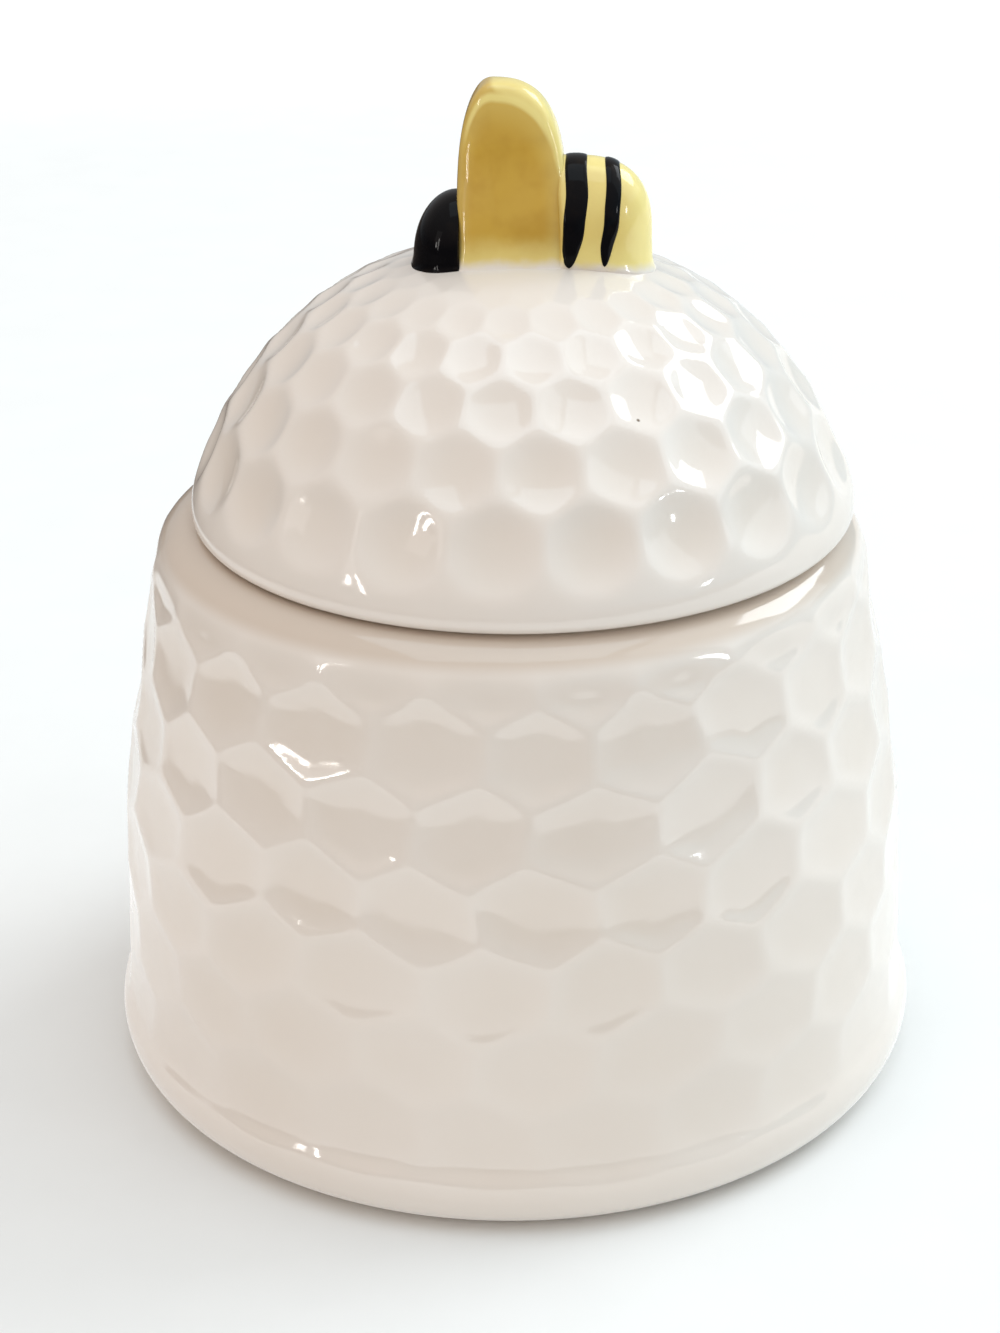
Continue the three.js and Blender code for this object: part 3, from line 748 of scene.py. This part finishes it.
class Nodes:
    """A node tree with short calls to add and join nodes."""

    def __init__(self, tree):
        self.tree = tree
        tree.nodes.clear()

    def add(self, kind, **settings):
        node = self.tree.nodes.new(kind)
        for key, value in settings.items():
            setattr(node, key, value)
        return node

    def join(self, source, target):
        """Links a socket to a target, or gives the target a number or a colour."""
        if isinstance(source, bpy.types.NodeSocket):
            self.tree.links.new(source, target)
        elif isinstance(source, (int, float)):
            target.default_value = source
        else:
            target.default_value = (*source, 1.0)

    def fill(self, node, *inputs):
        """Joins sources to a node's inputs, each given by its name or its place."""
        for key, source in inputs:
            self.join(source, node.inputs[key])

    def place(self):
        """Object coordinates, in metres."""
        return self.add("ShaderNodeTexCoord").outputs["Object"]

    def noise(self, scale, detail=2.0, roughness=0.5):
        """A noise from 0 to 1 on Object coordinates, with a scale in lumps per metre."""
        node = self.add("ShaderNodeTexNoise")
        self.fill(node, ("Scale", scale), ("Detail", detail), ("Roughness", roughness),
                  ("Vector", self.place()))
        return node.outputs["Fac"]

    def value(self, name):
        """A number stored on the mesh's points."""
        return self.add("ShaderNodeAttribute", attribute_name=name).outputs["Fac"]

    def fit(self, source, low, high, to_low=0.0, to_high=1.0):
        """Maps a range to another with eased ends."""
        node = self.add("ShaderNodeMapRange", interpolation_type="SMOOTHSTEP")
        self.fill(node, ("From Min", low), ("From Max", high), ("To Min", to_low),
                  ("To Max", to_high), ("Value", source))
        return node.outputs["Result"]

    def maths(self, operation, first, second):
        """Joins two numbers by a sum, product or the like."""
        node = self.add("ShaderNodeMath", operation=operation)
        self.fill(node, (0, first), (1, second))
        return node.outputs["Value"]

    def times(self, first, second):
        """The product of two numbers."""
        return self.maths("MULTIPLY", first, second)

    def axes(self, source):
        """The X, Y and Z of a vector, by name."""
        node = self.add("ShaderNodeSeparateXYZ")
        self.join(source, node.inputs["Vector"])
        return node.outputs

    def mix(self, factor, first, second):
        """Blends two colours by a number from 0 to 1."""
        node = self.add("ShaderNodeMix", data_type="RGBA")
        self.fill(node, ("Factor", factor), ("A", first), ("B", second))
        return node.outputs["Result"]

    def background(self, tint, strength):
        """A light of the world."""
        node = self.add("ShaderNodeBackground")
        self.fill(node, ("Color", tint), ("Strength", strength))
        return node.outputs["Background"]

    def bump(self, height, distance, strength, under=None):
        """A bump of a height map, over another bump if one is given."""
        node = self.add("ShaderNodeBump")
        self.fill(node, ("Strength", strength), ("Distance", distance), ("Height", height))
        if under is not None:
            self.join(under, node.inputs["Normal"])
        return node.outputs["Normal"]


class Surface(Nodes):
    """A new material with one shader, which the glazes below fill in."""

    def __init__(self, name):
        self.material = bpy.data.materials.new(name)
        self.material.use_nodes = True
        super().__init__(self.material.node_tree)
        self.shader = self.add("ShaderNodeBsdfPrincipled")
        self.join(self.shader.outputs["BSDF"],
                  self.add("ShaderNodeOutputMaterial").inputs["Surface"])

    def gloss(self, scale, detail, roughness, low, high):
        """Roughness that wanders with a noise between two shares of the fired glaze's."""
        return self.fit(self.noise(scale, detail), 0.3, 0.7, roughness * low, roughness * high)

    def finish(self, tint, rough, normal, refraction):
        """Joins a glaze's colour, roughness and bumps to the shader."""
        self.fill(self.shader, ("Base Color", tint), ("Roughness", rough), ("Normal", normal),
                  ("IOR", refraction))
        return self.material


def white_glaze(context, part):
    """Ivory glaze: a little darker in the cells' hollows, as pooled glaze and as painted shade,
    with soft waves, pin specks, a painted shadow under the lid's rim on the pot, and bare clay on
    the faces that stand in the kiln."""
    glazes = context.scene.honey_pot_glazes
    seat = context.scene.honey_pot_sizes.pot_height
    nodes = Surface(f"white_glaze_{part}")
    cloud = nodes.fit(nodes.noise(38, 3), 0.3, 0.7, 0.2, 0.5)
    # Darker where the cells are deep: pooled glaze, and painted shade in the hollows.
    tint = nodes.mix(nodes.times(nodes.value("pooling_and_shade"), cloud), glazes.white, glazes.pooled_and_shade)
    drift = nodes.fit(nodes.noise(14, 2), 0.35, 0.65)
    tint = nodes.mix(nodes.times(drift, 0.25), tint, glazes.pooled_and_shade)

    speck = nodes.add("ShaderNodeTexVoronoi")
    nodes.fill(speck, ("Scale", 130), ("Vector", nodes.place()))
    dot = nodes.fit(speck.outputs["Distance"], 0.02, 0.045, 1.0, 0.0)
    pick = nodes.add("ShaderNodeSeparateColor")
    nodes.join(speck.outputs["Color"], pick.inputs["Color"])
    rare = nodes.fit(pick.outputs["Red"], 0.965, 0.975)
    tint = nodes.mix(nodes.times(dot, rare), tint, SPECK)

    height = nodes.axes(nodes.place())["Z"]
    if part == "pot":
        # Painted shadow: the shoulder under the lid's rim, and the seat above it, are darkened
        # towards brown as if in the lid's shade.
        edge = nodes.fit(height, seat - 3.6 * MM, seat - 1.8 * MM)
        tint = nodes.mix(nodes.times(edge, 0.6), tint, SEAT_PAINTED_SHADOW)
        bare = nodes.fit(height, 0.15 * MM, 0.45 * MM, 1.0, 0.0)
    else:
        bare = nodes.fit(height, lid_low.z + 0.5 * MM, lid_low.z + 0.9 * MM, 1.0, 0.0)
    grit = nodes.noise(2600, 2)
    clay = nodes.mix(grit, glazes.bare_clay, GRIT)
    rough = nodes.maths("MAXIMUM", nodes.gloss(220, 3, glazes.gloss, 0.8, 1.35),
                        nodes.times(bare, 0.75))
    soft = nodes.bump(nodes.noise(95, 2), 0.35 * MM, 0.35)
    peel = nodes.bump(nodes.noise(900, 1), 0.02 * MM, 0.25, soft)
    grain = nodes.bump(nodes.times(grit, bare), 0.08 * MM, 0.8, peel)
    return nodes.finish(nodes.mix(bare, tint, clay), rough, grain, 1.6)


def yellow_glaze(context, name, thin_share):
    """Yellow glaze: darker in patches, white at its foot, and straw where it lies thin: a share of
    it everywhere, the rims, and low down. The straw on the upper back of each lump is partly thin
    glaze and partly painted light from above and behind, and the line round the upper wings is
    partly glaze thin on the ridge and partly a painted highlight."""
    glazes = context.scene.honey_pot_glazes
    nodes = Surface(name)
    rim, level = nodes.value("rim"), nodes.value("level")
    patch = nodes.fit(nodes.noise(150, 3, 0.55), 0.42, 0.68)
    tint = nodes.mix(nodes.times(patch, 0.6), glazes.gold, glazes.amber)
    upper_straw_share = nodes.fit(nodes.noise(260, 2), 0.25, 0.75, 0.65, 0.9)
    # A line along the ridge round the upper wings: partly glaze thin on the ridge, partly a painted
    # highlight.
    line = nodes.times(nodes.fit(rim, 0.86, 0.90), nodes.fit(rim, 0.92, 0.96, 1.0, 0.0))
    ragged = nodes.maths("ADD", level, nodes.times(nodes.noise(420, 2), -1.2 * MM))
    for thin in (nodes.fit(nodes.noise(90, 2), 0.3, 0.7, thin_share * 0.6, thin_share),
                 nodes.times(nodes.fit(rim, 0.6, 0.95), 0.25),
                 # Straw near the outline, most at the upper back: partly thin glaze, partly painted
                 # light from above and behind.
                 nodes.times(nodes.fit(nodes.value("thin"), 0.87, 0.94), upper_straw_share),
                 nodes.times(line, nodes.fit(level, 13.5 * MM, 18 * MM, 0.0, 0.85)),
                 nodes.fit(ragged, 0.0, 4.0 * MM, 0.75, 0.0)):
        tint = nodes.mix(thin, tint, glazes.straw)
    foot = nodes.fit(ragged, -0.7 * MM, 0.8 * MM, 1.0, 0.0)
    soft = nodes.bump(nodes.noise(230, 2), 0.25 * MM, 0.3)
    return nodes.finish(nodes.mix(foot, tint, glazes.white),
                        nodes.gloss(300, 2, glazes.gloss, 0.9, 1.7),
                        nodes.bump(nodes.noise(1400, 1), 0.012 * MM, 0.2, soft), 1.5)


def black_glaze(context):
    """Black glaze, glossy, with a breath of brown where it is thin, and soft brush waves."""
    glazes = context.scene.honey_pot_glazes
    nodes = Surface("black_glaze")
    nodes.fill(nodes.shader, ("Specular IOR Level", 0.09))
    thin = nodes.times(nodes.fit(nodes.noise(320, 3), 0.5, 0.8), 0.5)
    return nodes.finish(nodes.mix(thin, glazes.black, THIN_BLACK),
                        nodes.gloss(400, 2, glazes.gloss, 0.8, 1.6),
                        nodes.bump(nodes.noise(500, 2), 0.1 * MM, 0.25), 1.5)


# The photograph's camera: its place and angles, and its focal length in the photograph's pixels
CAMERA_DISTANCE = 0.318
CAMERA_HEIGHT = 0.2029
CAMERA_PITCH = math.radians(25.234)
CAMERA_YAW = math.radians(-0.273)
CAMERA_ROLL = math.radians(-0.844)
FOCAL_PIXELS = 2588
PHOTO_HEIGHT_PIXELS = 1333
SENSOR_HEIGHT_MM = 24.0

# Soft light from above and from the four sides
LIGHT_ABOVE = (0.85, 0.80, 0.76)
LIGHT_FRONT = (0.77, 0.53, 0.39)
LIGHT_LEFT = (0.64, 0.46, 0.36)
LIGHT_RIGHT = (0.20, 0.44, 0.58)
LIGHT_BACK = (0.36, 0.38, 0.40)

# Floor: half width, drop under the foot, two tints, its glow in reflections, and where and into
# what colour it ends there
FLOOR_HALF = 3.0
FLOOR_DROP = 0.05 * MM
FLOOR_TINT = (0.83, 0.845, 0.84)
FLOOR_SHADE = (0.79, 0.805, 0.80)
FLOOR_GLOW = 0.3
GLOW_TINT = (0.92, 0.96, 1.0)
FLOOR_REACH = 0.225
DARK_BEYOND = (0.06, 0.04, 0.03)

# Rectangular lamps: name, direction from the pot, distance, width, height, power and tint
LAMPS = (
    ("key_light", (0.67, 0.39, 0.61), 3.0, 1.8, 1.1, 32, (0.92, 0.97, 1.0)),
    ("side_light", (0.76, 0.07, 0.65), 3.0, 3.0, 2.8, 24, (0.80, 0.91, 0.98)),
    ("skylight", (0.0, -0.07, 1.0), 3.0, 2.4, 2.4, 24, (0.68, 0.87, 1.0)),
    ("left_light", (-0.80, -0.50, 0.34), 3.3, 1.0, 0.9, 2, (1.0, 0.97, 0.94)),
    ("left_small", (-0.84, -0.5, 0.15), 3.3, 0.18, 0.30, 4, (1.0, 0.96, 0.92)),
    ("left_strip", (-0.80, -0.62, 0.18), 3.3, 0.09, 0.70, 5, (1.0, 0.96, 0.92)),
    ("right_small", (0.85, -0.5, 0.15), 3.3, 0.15, 0.30, 4, (0.97, 0.98, 1.0)),
)
LAMP_TARGET = Vector((0, 0, 0.06))


def add_camera():
    """The camera at the photograph's place: pitched down, with a trace of yaw and roll."""
    data = bpy.data.cameras.new("camera")
    data.sensor_fit = "VERTICAL"
    data.sensor_height = SENSOR_HEIGHT_MM
    data.lens = SENSOR_HEIGHT_MM * FOCAL_PIXELS / PHOTO_HEIGHT_PIXELS
    data.clip_start = 0.01
    camera = add_object("camera", data)
    ahead = Vector((math.sin(CAMERA_YAW) * math.cos(CAMERA_PITCH),
                    math.cos(CAMERA_YAW) * math.cos(CAMERA_PITCH), -math.sin(CAMERA_PITCH)))
    level = ahead.cross(Vector((0, 0, 1))).normalized()
    upright = level.cross(ahead)
    right = math.cos(CAMERA_ROLL) * level + math.sin(CAMERA_ROLL) * upright
    up = math.cos(CAMERA_ROLL) * upright - math.sin(CAMERA_ROLL) * level
    turn = Matrix((right, up, -ahead)).transposed().to_4x4()
    camera.matrix_world = Matrix.Translation((0, -CAMERA_DISTANCE, CAMERA_HEIGHT)) @ turn
    bpy.context.scene.camera = camera


def add_lamp(name, direction, distance, width, height, power, tint):
    """A rectangular area lamp that looks back at the pot from a direction."""
    data = bpy.data.lights.new(name, "AREA")
    data.shape = "RECTANGLE"
    data.size, data.size_y, data.energy, data.color = width, height, power, tint
    lamp = add_object(name, data)
    lamp.location = LAMP_TARGET + Vector(direction).normalized() * distance
    lamp.rotation_euler = (lamp.location - LAMP_TARGET).to_track_quat("Z", "Y").to_euler()


def studio_world():
    """Soft light all round: pale above, warm in front and on the left, and cool on the right and
    at the back. The warm light is dim near the horizon, and dimmer in reflections. The camera
    itself sees plain white."""
    world = bpy.data.worlds.new("studio")
    world.use_nodes = True
    nodes = Nodes(world.node_tree)
    way = nodes.axes(nodes.add("ShaderNodeTexCoord").outputs["Generated"])
    up = nodes.fit(way["Z"], 0.0, 1.0)
    low = nodes.maths("SUBTRACT", 1.0, up)
    seen = nodes.add("ShaderNodeLightPath")
    dim = nodes.times(low, nodes.fit(way["Z"], 0.05, 0.28, 0.08, 1.0))
    dim = nodes.times(dim, nodes.fit(seen.outputs["Is Glossy Ray"], 0, 1, 1.0, 0.35))
    light = nodes.background(LIGHT_ABOVE, up)
    for axis, sign, tint, strength in (("Y", -1, LIGHT_FRONT, dim), ("X", -1, LIGHT_LEFT, dim),
                                       ("X", 1, LIGHT_RIGHT, low), ("Y", 1, LIGHT_BACK, low)):
        facing = nodes.maths("MAXIMUM", nodes.times(way[axis], sign), 0.0)
        both = nodes.add("ShaderNodeAddShader")
        nodes.fill(both, (0, light), (1, nodes.background(tint, nodes.times(facing, strength))))
        light = both.outputs["Shader"]
    choose = nodes.add("ShaderNodeMixShader")
    nodes.fill(choose, ("Fac", seen.outputs["Is Camera Ray"]), (1, light),
               (2, nodes.background((1.0, 1.0, 1.0), 1.0)))
    nodes.join(choose.outputs["Shader"], nodes.add("ShaderNodeOutputWorld").inputs["Surface"])
    return world


def floor_material():
    """A pale floor, white to the camera far away. Reflections see it a little brighter in front,
    and see it end in the dark beyond its reach in front and on the left."""
    nodes = Surface("pale_floor")
    tint = nodes.mix(nodes.noise(55, 3), FLOOR_TINT, FLOOR_SHADE)
    place = nodes.axes(nodes.place())
    across = nodes.maths("MAXIMUM", nodes.times(place["X"], -1.0), 0.0)
    away = nodes.maths("POWER", nodes.maths("ADD", nodes.maths("POWER", across, 2.0),
                                            nodes.maths("POWER", place["Y"], 2.0)), 0.5)
    front = nodes.fit(place["Y"], 0.0, 0.1, 1.0, 0.0)
    left = nodes.fit(place["X"], -0.1, 0.0, 1.0, 0.0)
    dark = nodes.times(nodes.fit(away, FLOOR_REACH, FLOOR_REACH + 0.05),
                       nodes.maths("MAXIMUM", front, left))
    path = nodes.add("ShaderNodeLightPath")
    glossy = path.outputs["Is Glossy Ray"]
    seen = nodes.times(dark, glossy)
    near = nodes.times(nodes.maths("SUBTRACT", glossy, seen), front)
    span = nodes.add("ShaderNodeVectorMath", operation="LENGTH")
    nodes.join(nodes.place(), span.inputs[0])
    far = nodes.times(nodes.fit(span.outputs["Value"], 0.5, 1.2, 0.0, 1.1),
                      path.outputs["Is Camera Ray"])
    nodes.fill(nodes.shader, ("Base Color", nodes.mix(seen, tint, DARK_BEYOND)), ("Roughness", 0.9),
               ("Emission Color", GLOW_TINT),
               ("Emission Strength", nodes.maths("ADD", nodes.times(near, FLOOR_GLOW), far)))
    return nodes.material


class HONEYPOT_OT_stage(bpy.types.Operator):
    """Set the pale floor, the soft lamps and the camera"""

    bl_idname = "honey_pot.stage"
    bl_label = "Stage"

    def execute(self, context):
        corners = FLOOR_HALF * np.array([[-1.0, -1, 0], [1, -1, 0], [1, 1, 0], [-1, 1, 0]])
        corners[:, 2] = -FLOOR_DROP
        mesh = fill_mesh("floor", corners, np.array([[0, 1, 2, 3]]), np.zeros((0, 3), int), {})
        mesh.materials.append(floor_material())
        add_object("floor", mesh)

        context.scene.world = studio_world()
        for lamp in LAMPS:
            add_lamp(*lamp)
        add_camera()
        context.scene.view_settings.view_transform = "Standard"
        return {"FINISHED"}


class HONEYPOT_PT_panel(bpy.types.Panel):
    """Sizes, glazes and the steps that make the honey pot"""

    bl_label = "Honey Pot"
    bl_idname = "HONEYPOT_PT_panel"
    bl_space_type = "VIEW_3D"
    bl_region_type = "UI"
    bl_category = "Honey Pot"

    def draw(self, context):
        layout = self.layout
        for step in STEPS:
            layout.operator(step.bl_idname)
        for group in (context.scene.honey_pot_sizes, context.scene.honey_pot_glazes):
            for key in group.bl_rna.properties.keys():
                if key not in ("rna_type", "name"):
                    layout.prop(group, key)


STEPS = (HONEYPOT_OT_pot, HONEYPOT_OT_lid, HONEYPOT_OT_bee, HONEYPOT_OT_bands, HONEYPOT_OT_stage)
CLASSES = (HoneyPotSizes, HoneyPotGlazes, *STEPS, HONEYPOT_PT_panel)


def register():
    for cls in CLASSES:
        bpy.utils.register_class(cls)
    bpy.types.Scene.honey_pot_sizes = PointerProperty(type=HoneyPotSizes)
    bpy.types.Scene.honey_pot_glazes = PointerProperty(type=HoneyPotGlazes)


def unregister():
    del bpy.types.Scene.honey_pot_glazes
    del bpy.types.Scene.honey_pot_sizes
    for cls in reversed(CLASSES):
        bpy.utils.unregister_class(cls)


def main():
    register()
    bpy.ops.honey_pot.pot()
    bpy.ops.honey_pot.lid()
    bpy.ops.honey_pot.bee()
    bpy.ops.honey_pot.bands()
    bpy.ops.honey_pot.stage()


if __name__ == "__main__":
    main()
